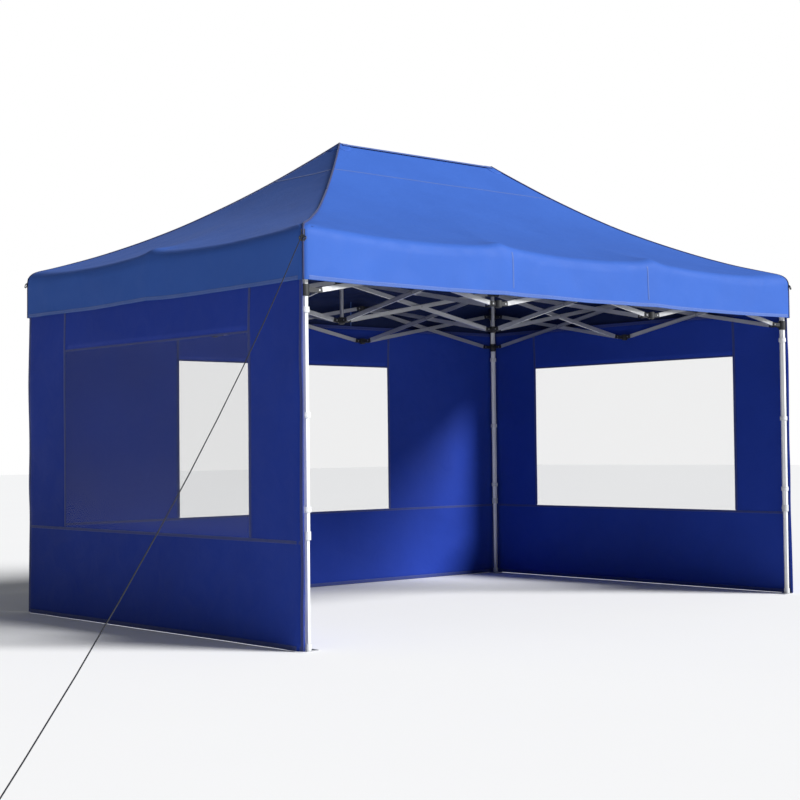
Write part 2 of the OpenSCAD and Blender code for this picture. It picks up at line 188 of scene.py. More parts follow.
def fabric(name, color, dark, rough=0.5, sheen=0.25, wrinkle=0.004, weave=0.0022, grime=0.0):
    """coated polyester: plain weave, soft creases, cloudy fading; all of it on UVs in metres, so it stays on the cloth when it folds"""
    m, t, b = nodes_of(name)
    uv = node(t, "ShaderNodeTexCoord").outputs["UV"]
    warp = node(t, "ShaderNodeTexWave", wave_type="BANDS", bands_direction="X", Scale=1 / weave / 6.2832 * 3.1416, Distortion=0.6)
    weft = node(t, "ShaderNodeTexWave", wave_type="BANDS", bands_direction="Y", Scale=1 / weave / 6.2832 * 3.1416, Distortion=0.6)
    cloud = node(t, "ShaderNodeTexNoise", Scale=1.3, Detail=6.0, Roughness=0.6)
    crease = node(t, "ShaderNodeTexNoise", Scale=6.5, Detail=5.0, Roughness=0.55, Distortion=0.8)
    slub = node(t, "ShaderNodeTexNoise", Scale=160.0, Detail=2.0)
    for n in (warp, weft, cloud, crease, slub):
        link(t, uv, n.inputs["Vector"])
    w = node(t, "ShaderNodeMath", operation="MULTIPLY")
    link(t, warp.outputs["Fac"], w.inputs[0])
    link(t, weft.outputs["Fac"], w.inputs[1])
    s = node(t, "ShaderNodeMath", operation="ADD")
    link(t, w.outputs[0], s.inputs[0])
    link(t, slub.outputs["Fac"], s.inputs[1])
    base = tinted(t, ramp(t, cloud.outputs["Fac"], 0.3, 0.7, 0, 1), dark, color)
    thread = t.nodes.new("ShaderNodeMix")
    thread.data_type = "RGBA"
    thread.blend_type = "MULTIPLY"
    link(t, ramp(t, s.outputs[0], 0.3, 1.2, 0.22, 0.0), [x for x in thread.inputs if x.name == "Factor" and x.type == "VALUE"][0])
    link(t, base, [x for x in thread.inputs if x.name == "A" and x.type == "RGBA"][0])
    [x for x in thread.inputs if x.name == "B" and x.type == "RGBA"][0].default_value = (0.45, 0.5, 0.6, 1)
    link(t, [o for o in thread.outputs if o.type == "RGBA"][0], b.inputs["Base Color"])
    link(t, ramp(t, crease.outputs["Fac"], 0.3, 0.7, rough - 0.06, rough + 0.08), b.inputs["Roughness"])
    b.inputs["Sheen Weight"].default_value = sheen
    b.inputs["Sheen Roughness"].default_value = 0.45
    b.inputs["Specular IOR Level"].default_value = 0.16
    low = bump(t, b, crease.outputs["Fac"], wrinkle, 0.55)
    link(t, bump(t, b, s.outputs[0], 0.0002, 0.5, low), b.inputs["Normal"])
    return m


def tape(name, color, dark, width, stitch=(0.55, 0.6, 0.75)):
    """sewn tape or hem with a row of stitches along each edge; U runs along it and V across it, in metres"""
    m, t, b = nodes_of(name)
    uv = node(t, "ShaderNodeTexCoord").outputs["UV"]
    sep = t.nodes.new("ShaderNodeSeparateXYZ")
    link(t, uv, sep.inputs[0])
    # dashes 5 mm long, every 7 mm
    f = node(t, "ShaderNodeMath", operation="FRACT")
    mu = node(t, "ShaderNodeMath", operation="MULTIPLY")
    mu.inputs[1].default_value = 1 / 0.007
    link(t, sep.outputs["X"], mu.inputs[0])
    link(t, mu.outputs[0], f.inputs[0])
    dash = node(t, "ShaderNodeMath", operation="LESS_THAN")
    dash.inputs[1].default_value = 0.68
    link(t, f.outputs[0], dash.inputs[0])
    # two rows, 22 % in from each edge
    ab = node(t, "ShaderNodeMath", operation="ABSOLUTE")
    link(t, sep.outputs["Y"], ab.inputs[0])
    off = node(t, "ShaderNodeMath", operation="SUBTRACT")
    off.inputs[1].default_value = width * 0.3
    link(t, ab.outputs[0], off.inputs[0])
    ab2 = node(t, "ShaderNodeMath", operation="ABSOLUTE")
    link(t, off.outputs[0], ab2.inputs[0])
    row = node(t, "ShaderNodeMath", operation="LESS_THAN")
    row.inputs[1].default_value = 0.0008
    link(t, ab2.outputs[0], row.inputs[0])
    both = node(t, "ShaderNodeMath", operation="MULTIPLY")
    link(t, dash.outputs[0], both.inputs[0])
    link(t, row.outputs[0], both.inputs[1])
    cloud = node(t, "ShaderNodeTexNoise", Scale=18.0, Detail=4.0)
    link(t, uv, cloud.inputs["Vector"])
    base = tinted(t, cloud.outputs["Fac"], dark, color)
    mix = t.nodes.new("ShaderNodeMix")
    mix.data_type = "RGBA"
    link(t, both.outputs[0], [x for x in mix.inputs if x.name == "Factor" and x.type == "VALUE"][0])
    link(t, base, [x for x in mix.inputs if x.name == "A" and x.type == "RGBA"][0])
    [x for x in mix.inputs if x.name == "B" and x.type == "RGBA"][0].default_value = (*stitch, 1)
    link(t, [o for o in mix.outputs if o.type == "RGBA"][0], b.inputs["Base Color"])
    rib = node(t, "ShaderNodeTexWave", wave_type="BANDS", bands_direction="X", Scale=300.0)
    link(t, uv, rib.inputs["Vector"])
    link(t, ramp(t, cloud.outputs["Fac"], 0.3, 0.7, 0.5, 0.7), b.inputs["Roughness"])
    b.inputs["Sheen Weight"].default_value = 0.2
    low = bump(t, b, both.outputs[0], 0.0006, 0.8)
    link(t, bump(t, b, rib.outputs["Fac"], 0.00015, 0.5, low), b.inputs["Normal"])
    return m


def braided(name, color, light, pitch=0.006):
    m, t, b = nodes_of(name)
    co = node(t, "ShaderNodeTexCoord")
    w = node(t, "ShaderNodeTexWave", wave_type="BANDS", bands_direction="DIAGONAL", Scale=1 / pitch / 2, Distortion=1.5, Detail=2.0)
    n = node(t, "ShaderNodeTexNoise", Scale=40.0, Detail=3.0)
    link(t, co.outputs["Object"], w.inputs["Vector"])
    link(t, co.outputs["Object"], n.inputs["Vector"])
    link(t, tinted(t, w.outputs["Fac"], color, light), b.inputs["Base Color"])
    link(t, ramp(t, n.outputs["Fac"], 0.3, 0.7, 0.6, 0.8), b.inputs["Roughness"])
    b.inputs["Specular IOR Level"].default_value = 0.2
    link(t, bump(t, b, w.outputs["Fac"], 0.0006, 0.8), b.inputs["Normal"])
    return m


def clear_film(name):
    """clear flexible PVC: slight blue-grey, soft ripples, faint haze"""
    m, t, b = nodes_of(name)
    uv = node(t, "ShaderNodeTexCoord").outputs["UV"]
    n = node(t, "ShaderNodeTexNoise", Scale=2.6, Detail=1.0, Roughness=0.4, Distortion=0.6)
    h = node(t, "ShaderNodeTexNoise", Scale=4.0, Detail=2.0)
    link(t, uv, n.inputs["Vector"])
    link(t, uv, h.inputs["Vector"])
    link(t, tinted(t, h.outputs["Fac"], (0.18, 0.20, 0.22), (0.22, 0.24, 0.26)), b.inputs["Base Color"])
    link(t, ramp(t, h.outputs["Fac"], 0.3, 0.7, 0.06, 0.16), b.inputs["Roughness"])
    b.inputs["Alpha"].default_value = 0.08
    b.inputs["Specular IOR Level"].default_value = 0.4
    link(t, bump(t, b, n.outputs["Fac"], 0.003, 0.25), b.inputs["Normal"])
    m.surface_render_method = "BLENDED"
    return m


ROOF_BLUE, ROOF_DARK = (0.038, 0.122, 0.48), (0.032, 0.106, 0.43)
WALL_BLUE, WALL_DARK = (0.013, 0.047, 0.37), (0.010, 0.038, 0.31)
M_roof = fabric("roof_cloth", ROOF_BLUE, ROOF_DARK, rough=0.60, sheen=0.03, wrinkle=0.004)
M_wall = fabric("wall_cloth", WALL_BLUE, WALL_DARK, rough=0.60, sheen=0.03, wrinkle=0.006)
# painted shade: the underside cloth is coloured about a sixth as bright as the roof cloth, standing for the shade under
# the canopy
M_under_painted_shade = fabric("roof_underside_painted_shade", (0.008, 0.018, 0.080), (0.006, 0.013, 0.060), rough=0.6, sheen=0.03, wrinkle=0.003)
M_piping = tape("piping_cloth", (0.012, 0.026, 0.14), (0.008, 0.018, 0.10), 0.012)
M_roof_tape = tape("roof_tape", (0.034, 0.100, 0.38), (0.028, 0.085, 0.33), 0.012, (0.06, 0.14, 0.45))
M_hem = tape("hem_tape", (0.036, 0.105, 0.40), (0.030, 0.090, 0.35), 0.022, (0.07, 0.16, 0.50))
M_wall_tape = tape("wall_tape", (0.010, 0.030, 0.21), (0.008, 0.024, 0.17), 0.026, (0.03, 0.06, 0.30))
M_film = clear_film("window_film")
M_alu = solid_material("satin_aluminium", (0.66, 0.67, 0.69), 0.36, 0.9, scale=30, var=0.06, fine=0.00008, stretch=(6, 6, 1))
M_bar = solid_material("bar_aluminium", (0.70, 0.71, 0.73), 0.34, 0.85, scale=40, var=0.06, fine=0.00008)
M_leg = solid_material("white_enamel", (0.84, 0.85, 0.86), 0.34, 0.15, scale=35, var=0.04, fine=0.0001, stretch=(1, 1, 0.3), low_dirt=True)
M_black = solid_material("black_nylon", (0.022, 0.023, 0.026), 0.44, 0.0, scale=70, var=0.25, fine=0.0003)
M_grey = solid_material("grey_plastic", (0.62, 0.63, 0.65), 0.42, 0.0, scale=60, var=0.06, fine=0.0002)
M_steel = solid_material("zinc_steel", (0.52, 0.53, 0.55), 0.38, 0.95, scale=120, var=0.15, fine=0.0002)
M_mast = solid_material("mast_aluminium", (0.50, 0.51, 0.54), 0.40, 0.9, scale=30, var=0.08, fine=0.0001, stretch=(6, 6, 1))
M_rope = braided("rope_braid", (0.008, 0.009, 0.012), (0.03, 0.032, 0.04))
M_strap = tape("strap_webbing", (0.78, 0.79, 0.81), (0.66, 0.67, 0.70), 0.03, (0.5, 0.5, 0.52))
M_web = tape("black_webbing", (0.03, 0.03, 0.034), (0.018, 0.018, 0.02), 0.025, (0.12, 0.12, 0.13))
rope.data.materials.append(M_rope)

# ---------------------------------------------------------------- CAD nodes keep their shape and get finishes
CX, CY, MX = 2.205, 1.485, 0.72
XS = [-CX, -MX, MX, CX]
YS = [-CY, 0.0, CY]
ZU, ZL = 2.210, 1.950


def poly_arrays(me):
    co = np.zeros(len(me.vertices) * 3)
    me.vertices.foreach_get("co", co)
    co = co.reshape(-1, 3)
    c = np.zeros(len(me.polygons) * 3)
    me.polygons.foreach_get("center", c)
    return co, c.reshape(-1, 3)


def finish_node(o, materials, pick):
    me = o.data
    me.materials.clear()
    for m in materials:
        me.materials.append(m)
    co, c = poly_arrays(me)
    idx = pick(co, c, me).astype(np.int32)
    me.polygons.foreach_set("material_index", idx)
    me.update()


def spread(me, co, fn):
    """largest value of fn over each polygon's corners"""
    loops = np.zeros(len(me.loops), np.int32)
    me.loops.foreach_get("vertex_index", loops)
    start = np.zeros(len(me.polygons), np.int32)
    me.polygons.foreach_get("loop_start", start)
    return np.maximum.reduceat(fn(co)[loops], start)


def pick_bar(co, c, me):
    lo, hi = co.min(0), co.max(0)
    ax = 0 if hi[0] - lo[0] > hi[1] - lo[1] else 1
    other = 1 - ax
    s = c[:, ax]
    out = np.zeros(len(c))
    out[(s < lo[ax] + 0.0375) | (s > hi[ax] - 0.0375)] = 1
    mid = (lo + hi) / 2
    near = (abs(s - mid[ax]) < 0.0125) & (abs(c[:, 2] - mid[2]) < 0.0125)
    # the tube's own faces lie within 6 mm of its middle plane, the most common plane of the corners
    plane = np.median(co[:, other])
    out[near & (abs(c[:, other] - plane) > 0.0062)] = 2
    return out


def pin_centres(i, j, up):
    out = []
    o = 0.008 if up else -0.008
    corner = (i in (0, 3)) and j != 1
    for a in (0, 90, 180, 270):
        cs, sn = round(math.cos(math.radians(a))), round(math.sin(math.radians(a)))
        for reach in (0.045, 0.090):
            out.append((XS[i] + cs * reach - sn * o, YS[j] + sn * reach + cs * o, a))
    return out


def rivet_mask(co, c, me, i, j, z, up):
    mask = np.zeros(len(c), bool)
    for x, y, a in pin_centres(i, j, up):
        along = (c[:, 0] - x) if a % 180 == 0 else (c[:, 1] - y)
        across = (c[:, 1] - y) if a % 180 == 0 else (c[:, 0] - x)
        mask |= (np.hypot(along, c[:, 2] - z) < 0.0054) & (abs(across) > 0.0104) & (abs(across) < 0.0145)
    return mask


def pick_hub(i, j, z, up, mast=False):
    def fn(co, c, me):
        out = np.zeros(len(c))
        out[rivet_mask(co, c, me, i, j, z, up)] = 1
        if mast:
            rr = np.hypot(c[:, 0] - XS[i], c[:, 1])
            out[(c[:, 2] > z + 0.0201) & (rr < 0.0135) & (c[:, 2] < 3.1095)] = 2
        return out

    return fn


def pick_leg(i, j):
    def fn(co, c, me):
        rad = lambda p: np.hypot(p[:, 0] - XS[i], p[:, 1] - YS[j])
        worst = spread(me, co, rad)
        out = np.full(len(c), 1)
        out[(worst < 0.01972)] = 0
        out[(c[:, 2] < 0.648) & (worst > 0.0198)] = 2
        out[(c[:, 2] < 0.648) & (worst > 0.0236)] = 3
        out[(c[:, 2] > 2.1) & rivet_mask(co, c, me, i, j, ZU, True)] = 3
        return out

    return fn


def pick_lower(i, j):
    def fn(co, c, me):
        worst = spread(me, co, lambda p: np.hypot(p[:, 0] - XS[i], p[:, 1] - YS[j]))
        out = np.zeros(len(c))
        out[(c[:, 2] < 0.0402) & (worst > 0.0165)] = 1
        out[(c[:, 2] < 0.0051)] = 2
        return out

    return fn


corner_names = {(0, 0): "front_left", (3, 0): "front_right", (0, 2): "back_left", (3, 2): "back_right"}
mid_names = {(1, 0): "front_1", (2, 0): "front_2", (1, 2): "back_1", (2, 2): "back_2", (0, 1): "left", (3, 1): "right"}
for name, o in NODES.items():
    if "_bar_" in name:
        finish_node(o, [M_bar, M_black, M_steel], pick_bar)
for (i, j), c in corner_names.items():
    finish_node(NODES["leg_" + c], [M_leg, M_black, M_grey, M_steel], pick_leg(i, j))
    finish_node(NODES["lower_leg_" + c], [M_leg, M_grey, M_steel], pick_lower(i, j))
    finish_node(NODES["slider_" + c], [M_black, M_steel], pick_hub(i, j, ZL, False))
for (i, j), c in mid_names.items():
    finish_node(NODES["upper_hub_" + c], [M_black, M_steel], pick_hub(i, j, ZU, True))
    finish_node(NODES["lower_hub_" + c], [M_black, M_steel], pick_hub(i, j, ZL, False))
for i, c in ((1, "left"), (2, "right")):
    finish_node(NODES["peak_hub_" + c], [M_black, M_steel], pick_hub(i, 1, ZU, True))
    finish_node(NODES["mast_" + c], [M_black, M_steel, M_mast], pick_hub(i, 1, ZL, False, mast=True))
finish_node(NODES["guy_peg"], [M_steel], lambda co, c, me: np.zeros(len(c)))

# ---------------------------------------------------------------- mesh helpers


def new_object(name, verts, faces, materials, uvs=None, smooth=True, normals=None):
    me = bpy.data.meshes.new(name)
    me.from_pydata([tuple(map(float, v)) for v in verts], [], [tuple(int(i) for i in f) for f in faces])
    me.update()
    if uvs is not None:
        layer = me.uv_layers.new(name="UVMap")
        flat = np.asarray(uvs, np.float32).reshape(-1)
        layer.data.foreach_set("uv", flat)
    for m in materials if isinstance(materials, list) else [materials]:
        me.materials.append(m)
    me.polygons.foreach_set("use_smooth", [smooth] * len(me.polygons))
    if normals is not None:
        me.normals_split_custom_set_from_vertices([tuple(map(float, n)) for n in normals])
    o = bpy.data.objects.new(name, me)
    scene.collection.objects.link(o)
    return o


def thicken(verts, faces, uv_of, normals, thick):
    """a closed thin solid from an open surface: outside, inside and rim"""
    n = len(verts)
    verts = np.asarray(verts, float)
    normals = np.asarray(normals, float)
    inner = verts - normals * thick
    allv = np.vstack([verts, inner])
    out = [tuple(f) for f in faces]
    back = [tuple(i + n for i in reversed(f)) for f in faces]
    directed = set()
    for f in faces:
        for a, b in zip(f, list(f[1:]) + [f[0]]):
            directed.add((a, b))
    rim = [(b, a, a + n, b + n) for a, b in directed if (b, a) not in directed]
    rim.sort()
    allf = out + back + rim
    uvs = []
    for k, f in enumerate(allf):
        tag = k if k < len(out) else (k - len(out) if k < 2 * len(out) else None)
        for i in f:
            uvs.append(uv_of(i % n, tag))
    return allv, allf, uvs, np.vstack([normals, -normals])


def strip(name, pts, across, width, thick, material, normal=None):
    """a sewn tape along pts: across is the direction of its width at each point"""
    pts = [Vector(p) for p in pts]
    n = len(pts)
    verts, faces, uvs = [], [], []
    length = 0.0
    us = [0.0]
    for a, b in zip(pts, pts[1:]):
        length += (b - a).length
        us.append(length)
    prof = [(-0.5, -0.35), (-0.42, -0.5), (0.42, -0.5), (0.5, -0.35), (0.5, 0.35), (0.42, 0.5), (-0.42, 0.5), (-0.5, 0.35)]
    for k, p in enumerate(pts):
        t = (pts[min(k + 1, n - 1)] - pts[max(k - 1, 0)]).normalized()
        w = Vector(across[k] if isinstance(across, list) else across).normalized()
        nn = t.cross(w).normalized()
        w = nn.cross(t).normalized()
        for a, b in prof:
            verts.append(p + w * (a * width) + nn * (b * thick))
    m = len(prof)
    for k in range(n - 1):
        for q in range(m):
            q2 = (q + 1) % m
            faces.append((k * m + q, k * m + q2, (k + 1) * m + q2, (k + 1) * m + q))
            va, vb = prof[q][0] * width, prof[q2][0] * width
            uvs += [(us[k], va), (us[k], vb), (us[k + 1], vb), (us[k + 1], va)]
    faces.append(tuple(range(m))[::-1])
    uvs += [(0, prof[q][0] * width) for q in reversed(range(m))]
    faces.append(tuple((n - 1) * m + q for q in range(m)))
    uvs += [(us[-1], prof[q][0] * width) for q in range(m)]
    return new_object(name, verts, faces, material, uvs, smooth=False)


def tube(name, pts, rad, material, sides=10, closed=False):
    pts = [Vector(p) for p in pts]
    n = len(pts)
    verts, faces, uvs = [], [], []
    ref = Vector((0, 0, 1))
    length = [0.0]
    for a, b in zip(pts, pts[1:]):
        length.append(length[-1] + (b - a).length)
    prev = None
    for k, p in enumerate(pts):
        if closed:
            t = (pts[(k + 1) % n] - pts[k - 1]).normalized()
        else:
            t = (pts[min(k + 1, n - 1)] - pts[max(k - 1, 0)]).normalized()
        if prev is None:
            a = t.cross(ref if abs(t.z) < 0.95 else Vector((1, 0, 0))).normalized()
        else:
            a = (prev - t * prev.dot(t)).normalized()
        prev = a
        b = t.cross(a)
        for s in range(sides):
            g = 2 * math.pi * s / sides
            verts.append(p + (a * math.cos(g) + b * math.sin(g)) * rad)
    loops = n if closed else n - 1
    for k in range(loops):
        k2 = (k + 1) % n
        for s in range(sides):
            s2 = (s + 1) % sides
            faces.append((k * sides + s, k * sides + s2, k2 * sides + s2, k2 * sides + s))
            u0, u1 = length[k], length[k] + (pts[k2] - pts[k]).length
            v0, v1 = s / sides * 0.04, (s + 1) / sides * 0.04
            uvs += [(u0, v0), (u0, v1), (u1, v1), (u1, v0)]
    if not closed:
        faces.append(tuple(range(sides))[::-1])
        uvs += [(0, 0)] * sides
        faces.append(tuple((n - 1) * sides + s for s in range(sides)))
        uvs += [(length[-1], 0)] * sides
    return new_object(name, verts, faces, material, uvs)


def soft(x, y, z=0.0, scale=1.0, seed=0.0):
    return noise.noise(Vector((x * scale + seed, y * scale + 1.7 * seed, z * scale - seed)))


# ---------------------------------------------------------------- canopy surface
AX, BY, RX = 2.25, 1.53, 0.722
EAVE, RIDGE, HEM = 2.300, 3.150, 2.000


def roof_z(t):
    return EAVE + (RIDGE - EAVE) * (0.45 * t + 0.55 * t * t)


ROWS = []  # (inset share t, height, corner radius, share below the fold)
for k in range(11):
    z = HEM + (2.240 - HEM) * k / 10
    ROWS.append((0.0, z, 0.040, 1 - (z - HEM) / (EAVE - HEM)))
t_fold = 0.045
for k in range(1, 9):
    q = k / 8
    ROWS.append((q * q * t_fold, (1 - q) ** 2 * 2.240 + 2 * q * (1 - q) * 2.304 + q * q * roof_z(t_fold), 0.040, 0.0))
t_list = list(np.linspace(t_fold, 1.0, 47)[1:])
for t in t_list:
    ROWS.append((float(t), roof_z(t), 0.040 * (1 - t) ** 1.5 + 0.003 * (1 - t), 0.0))

N_LONG, N_SHORT, N_ARC = 104, 72, 6


def bay_sag(v, supports):
    """0 at a support, 1 in the middle between two"""
    for a, b in zip(supports, supports[1:]):
        if a <= v <= b:
            return math.sin(math.pi * (v - a) / (b - a)) ** 0.8
    return 0.0


def perimeter(t, rc):
    """points round the roof at inset share t, with the side they belong to, their outward direction and their position along the side"""
    a = AX - t * (AX - RX)
    b = BY * (1 - t)
    rc = min(rc, b * 0.9)
    out = []
    sides = [
        (0, Vector((-a, -b)), Vector((1, 0)), Vector((0, -1)), 2 * a, N_LONG),
        (1, Vector((a, -b)), Vector((0, 1)), Vector((1, 0)), 2 * b, N_SHORT),
        (2, Vector((a, b)), Vector((-1, 0)), Vector((0, 1)), 2 * a, N_LONG),
        (3, Vector((-a, b)), Vector((0, -1)), Vector((-1, 0)), 2 * b, N_SHORT),
    ]
    for side, p, e, n, length, count in sides:
        nxt = sides[(side + 1) % 4][3]
        for k in range(count + 1):
            s = rc + (length - 2 * rc) * k / count
            out.append((side, p + e * s, n))
        c = p + e * (length - rc) - n * rc
        for k in range(1, N_ARC):
            g = math.pi / 2 * k / N_ARC
            dirn = n * math.cos(g) + nxt * math.sin(g)
            out.append((side if k < N_ARC / 2 else (side + 1) % 4, c + dirn * rc, dirn))
    return out


COLS = None
grid = []
for row, (t, z, rc, down) in enumerate(ROWS):
    line = []
    for col, (side, p, n) in enumerate(perimeter(t, rc)):
        x, y = p.x, p.y
        along = x if side in (0, 2) else y
        # eave sags between the hubs that hold it up, and the roof lies on the frame's peaks
        if side in (0, 2):
            base = bay_sag(max(-2.2, min(2.2, x / (AX - t * (AX - RX)) * AX)), (-2.2, -0.72, 0.72, 2.2))
        else:
            base = bay_sag(max(-1.48, min(1.48, y / max(1e-6, BY * (1 - t)) * BY)), (-1.48, 0.0, 1.48))
        height = 1.0 if t < t_fold else math.exp(-(t - t_fold) / 0.20)
        zz = z - 0.032 * base * height * (1 - 0.75 * min(1, down))
        # bumps where the hub heads press from below
        if t < 0.2:
            px = [(-0.72, -1.485), (0.72, -1.485), (-0.72, 1.485), (0.72, 1.485), (-2.205, 0), (2.205, 0)]
            for hx, hy in px:
                dd = math.hypot(x - hx, y - hy)
                zz += 0.013 * math.exp(-((dd / 0.085) ** 2)) * (1.0 if down == 0 else max(0, 1 - 2 * down))
        # slow undulation of the slopes, flat along the hips and the ridge
        if t > 0:
            f = math.sin(math.pi * min(1, t * 1.02)) ** 0.7
            zz += f * (0.010 * soft(x, y, 0, 1.1, 3.0) + 0.004 * soft(x, y, 0, 3.2, 7.0))
        else:
            f = 0.0
        # creases that run in from the eave corners
        corner_d = math.hypot(abs(x) - AX, abs(y) - BY)
        if corner_d < 0.9:
            ang = math.atan2(BY - abs(y), AX - abs(x))
            zz += 0.0035 * math.exp(-corner_d / 0.35) * min(1, corner_d / 0.08) * math.sin(ang * 17 + (3 if x > 0 else 0) + (5 if y > 0 else 0)) * (1 if t > 0 else 0)
        # the valance hangs free: waves that grow towards the hem
        push = 0.0
        if down > 0:
            seedy = 11.0 * side
            edge = min(1.0, abs((AX if side in (0, 2) else BY) - abs(along)) / 0.25)
            w = soft(along, z * 0.5, 0, 2.1, 20 + seedy) * 0.020 + soft(along, z, 0, 5.5, 40 + seedy) * 0.007
            # the cloth is drawn out over each hub and falls in folds from it
            hubs = (-0.72, 0.72) if side in (0, 2) else (0.0,)
            for h in hubs:
                w += 0.010 * math.exp(-(((along - h) / 0.07) ** 2)) * (1 - 0.6 * down) - 0.006 * math.exp(-(((abs(along - h) - 0.20) / 0.10) ** 2))
            push = max(0.0012, 0.009 + w) * down ** 0.8 * (0.25 + 0.75 * edge)
            zz += 0.004 * soft(along, 0, 0, 1.6, 60 + seedy) * down
        line.append((x + n.x * push, y + n.y * push, zz, side))
    grid.append(line)
COLS = len(grid[0])
G = np.array([[p[:3] for p in line] for line in grid])
SIDE = [p[3] for p in grid[0]]
R = len(ROWS)

bm = bmesh.new()
side_layer = bm.faces.layers.int.new("side")
rows_v = []
for k in range(R):
    rows_v.append([bm.verts.new(G[k, c]) for c in range(COLS)])
for k in range(R - 1):
    for c in range(COLS):
        c2 = (c + 1) % COLS
        f = bm.faces.new((rows_v[k][c], rows_v[k][c2], rows_v[k + 1][c2], rows_v[k + 1][c]))
        f[side_layer] = SIDE[c] if SIDE[c] == SIDE[c2] else SIDE[c2]
bmesh.ops.remove_doubles(bm, verts=bm.verts, dist=0.0006)
bmesh.ops.dissolve_degenerate(bm, edges=bm.edges, dist=0.0002)
CUT = 0.626
for y in (-CUT, CUT):
    bmesh.ops.bisect_plane(bm, geom=bm.verts[:] + bm.edges[:] + bm.faces[:], plane_co=(0, y, 0), plane_no=(0, 1, 0), dist=1e-5)
bm.normal_update()
up = [f for f in bm.faces if f.calc_center_median().z > 2.6]
if sum(f.normal.z for f in up) < 0:
    bmesh.ops.reverse_faces(bm, faces=bm.faces[:])
    bm.normal_update()
bm.verts.ensure_lookup_table()
bm.verts.index_update()


def roof_uv(co, side):
    along = co[0] if side in (0, 2) else co[1]
    inset = BY - abs(co[1]) if side in (0, 2) else AX - abs(co[0])
    return (along + 0.37 * side, (co[2] - HEM) + inset * 0.97)


SQX = dict(joint="frame_fold", axis=(1, 0, 0), anchor=(-0.72, 0, 0), keep=0.1485)


def squash(o, axis, anchor, keep):
    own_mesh(o)


def on_row(o, row):
    """a canopy piece goes with the row of hubs it lies on"""
    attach(o, {"front": "upper_hub_front_1", "middle": "peak_hub_left", "back": "upper_hub_back_1"}[row])
    squash(o, (1, 0, 0), (-0.72, 0, 0), 0.1485)
    return o


def row_of(y):
    return "front" if y < -CUT else "back" if y > CUT else "middle"


canopy = {}
for row in ("front", "middle", "back"):
    fs = [f for f in bm.faces if row_of(f.calc_center_median().y) == row]
    idx, verts, norms = {}, [], []
    faces, tags = [], []
    for f in fs:
        ids = []
        for v in f.verts:
            if v.index not in idx:
                idx[v.index] = len(verts)
                verts.append(tuple(v.co))
                norms.append(tuple(v.normal))
            ids.append(idx[v.index])
        faces.append(tuple(ids))
        tags.append(f[side_layer])
    allv, allf, uvs, alln = thicken(
        verts, faces, lambda i, k: roof_uv(verts[i], tags[k] if k is not None else 0), norms, 0.0012
    )
    canopy[row] = new_object("canopy_" + row, allv, allf, [M_roof, M_under_painted_shade], uvs, normals=alln)
    # the inner faces take the dark underside cloth, which is painted shade under the roof
    canopy[row].data.polygons.foreach_set("material_index", [1 if len(faces) <= q < 2 * len(faces) else 0 for q in range(len(allf))])
    area = sum(f.calc_area() for f in fs)
    canopy[row]["cloth_area"] = area
bm.free()

# ---- piping on the hips, ridge band, seams, hem


def split_rows(points):
    """cuts a polyline at the rows' borders: [(row, points)]"""
    out = []
    cur = [Vector(points[0])]
    row = row_of((points[0][1] + points[1][1]) / 2)
    for a, b in zip(points, points[1:]):
        a, b = Vector(a), Vector(b)
        cuts = sorted((y - a.y) / (b.y - a.y) for y in (-CUT, CUT) if abs(b.y - a.y) > 1e-9 and 0 < (y - a.y) / (b.y - a.y) < 1)
        for q in cuts:
            m = a.lerp(b, q)
            cur.append(m)
            out.append((row, cur))
            cur = [m.copy()]
            row = row_of(m.y + (b.y - a.y) * 1e-3)
        cur.append(b)
    out.append((row, cur))
    return out


corner_col = []
c0 = 0
for side, count in ((0, N_LONG), (1, N_SHORT), (2, N_LONG), (3, N_SHORT)):
    c0 += count + 1
    corner_col.append(c0 + N_ARC // 2 - 1)
    c0 += N_ARC - 1
CORNER_KEY = {0: "front_right", 1: "back_right", 2: "back_left", 3: "front_left"}
for q, col in enumerate(corner_col):
    first = 0
    pts = [G[k, col] for k in range(first, R)]
    out2 = []
    for k, p in enumerate(pts):
        n = Vector((math.copysign(0.18, p[0]), math.copysign(0.18, p[1]), 1)).normalized()
        if k < 18:
            n = Vector((math.copysign(0.7, p[0]), math.copysign(0.7, p[1]), max(0, k - 10) * 0.15)).normalized()
        out2.append(Vector(p) + n * 0.0025)
    for s, (row, part) in enumerate(split_rows(out2)):
        if len(part) > 1:
            on_row(tube("hip_piping_%s_%d" % (CORNER_KEY[q], s + 1), part, 0.0062, M_piping, 10), row)

# ridge band: a doubled strip sewn over the ridge
band = []
ridge_pts = [Vector((x, 0, RIDGE - 0.0004)) for x in np.linspace(-RX + 0.004, RX - 0.004, 25)]
verts, faces, uvs = [], [], []
prof = [(-0.030, -0.0125), (-0.015, -0.0055), (-0.004, 0.0004), (0.004, 0.0004), (0.015, -0.0055), (0.030, -0.0125)]
prof2 = prof + [(y, z - 0.0024) for y, z in reversed(prof)]
for p in ridge_pts:
    for y, z in prof2:
        verts.append((p.x, y, p.z + 0.0016 + z))
m = len(prof2)
for k in range(len(ridge_pts) - 1):
    for q in range(m):
        q2 = (q + 1) % m
        faces.append((k * m + q, (k + 1) * m + q, (k + 1) * m + q2, k * m + q2))
        x0, x1 = ridge_pts[k].x, ridge_pts[k + 1].x
        uvs += [(x0, prof2[q][0]), (x1, prof2[q][0]), (x1, prof2[q2][0]), (x0, prof2[q2][0])]
faces.append(tuple(range(m)))
uvs += [(0, p[0]) for p in prof2]
faces.append(tuple((len(ridge_pts) - 1) * m + q for q in reversed(range(m))))
uvs += [(1, prof2[q][0]) for q in reversed(range(m))]
on_row(new_object("ridge_band", verts, faces, M_roof_tape, uvs, smooth=False), "middle")

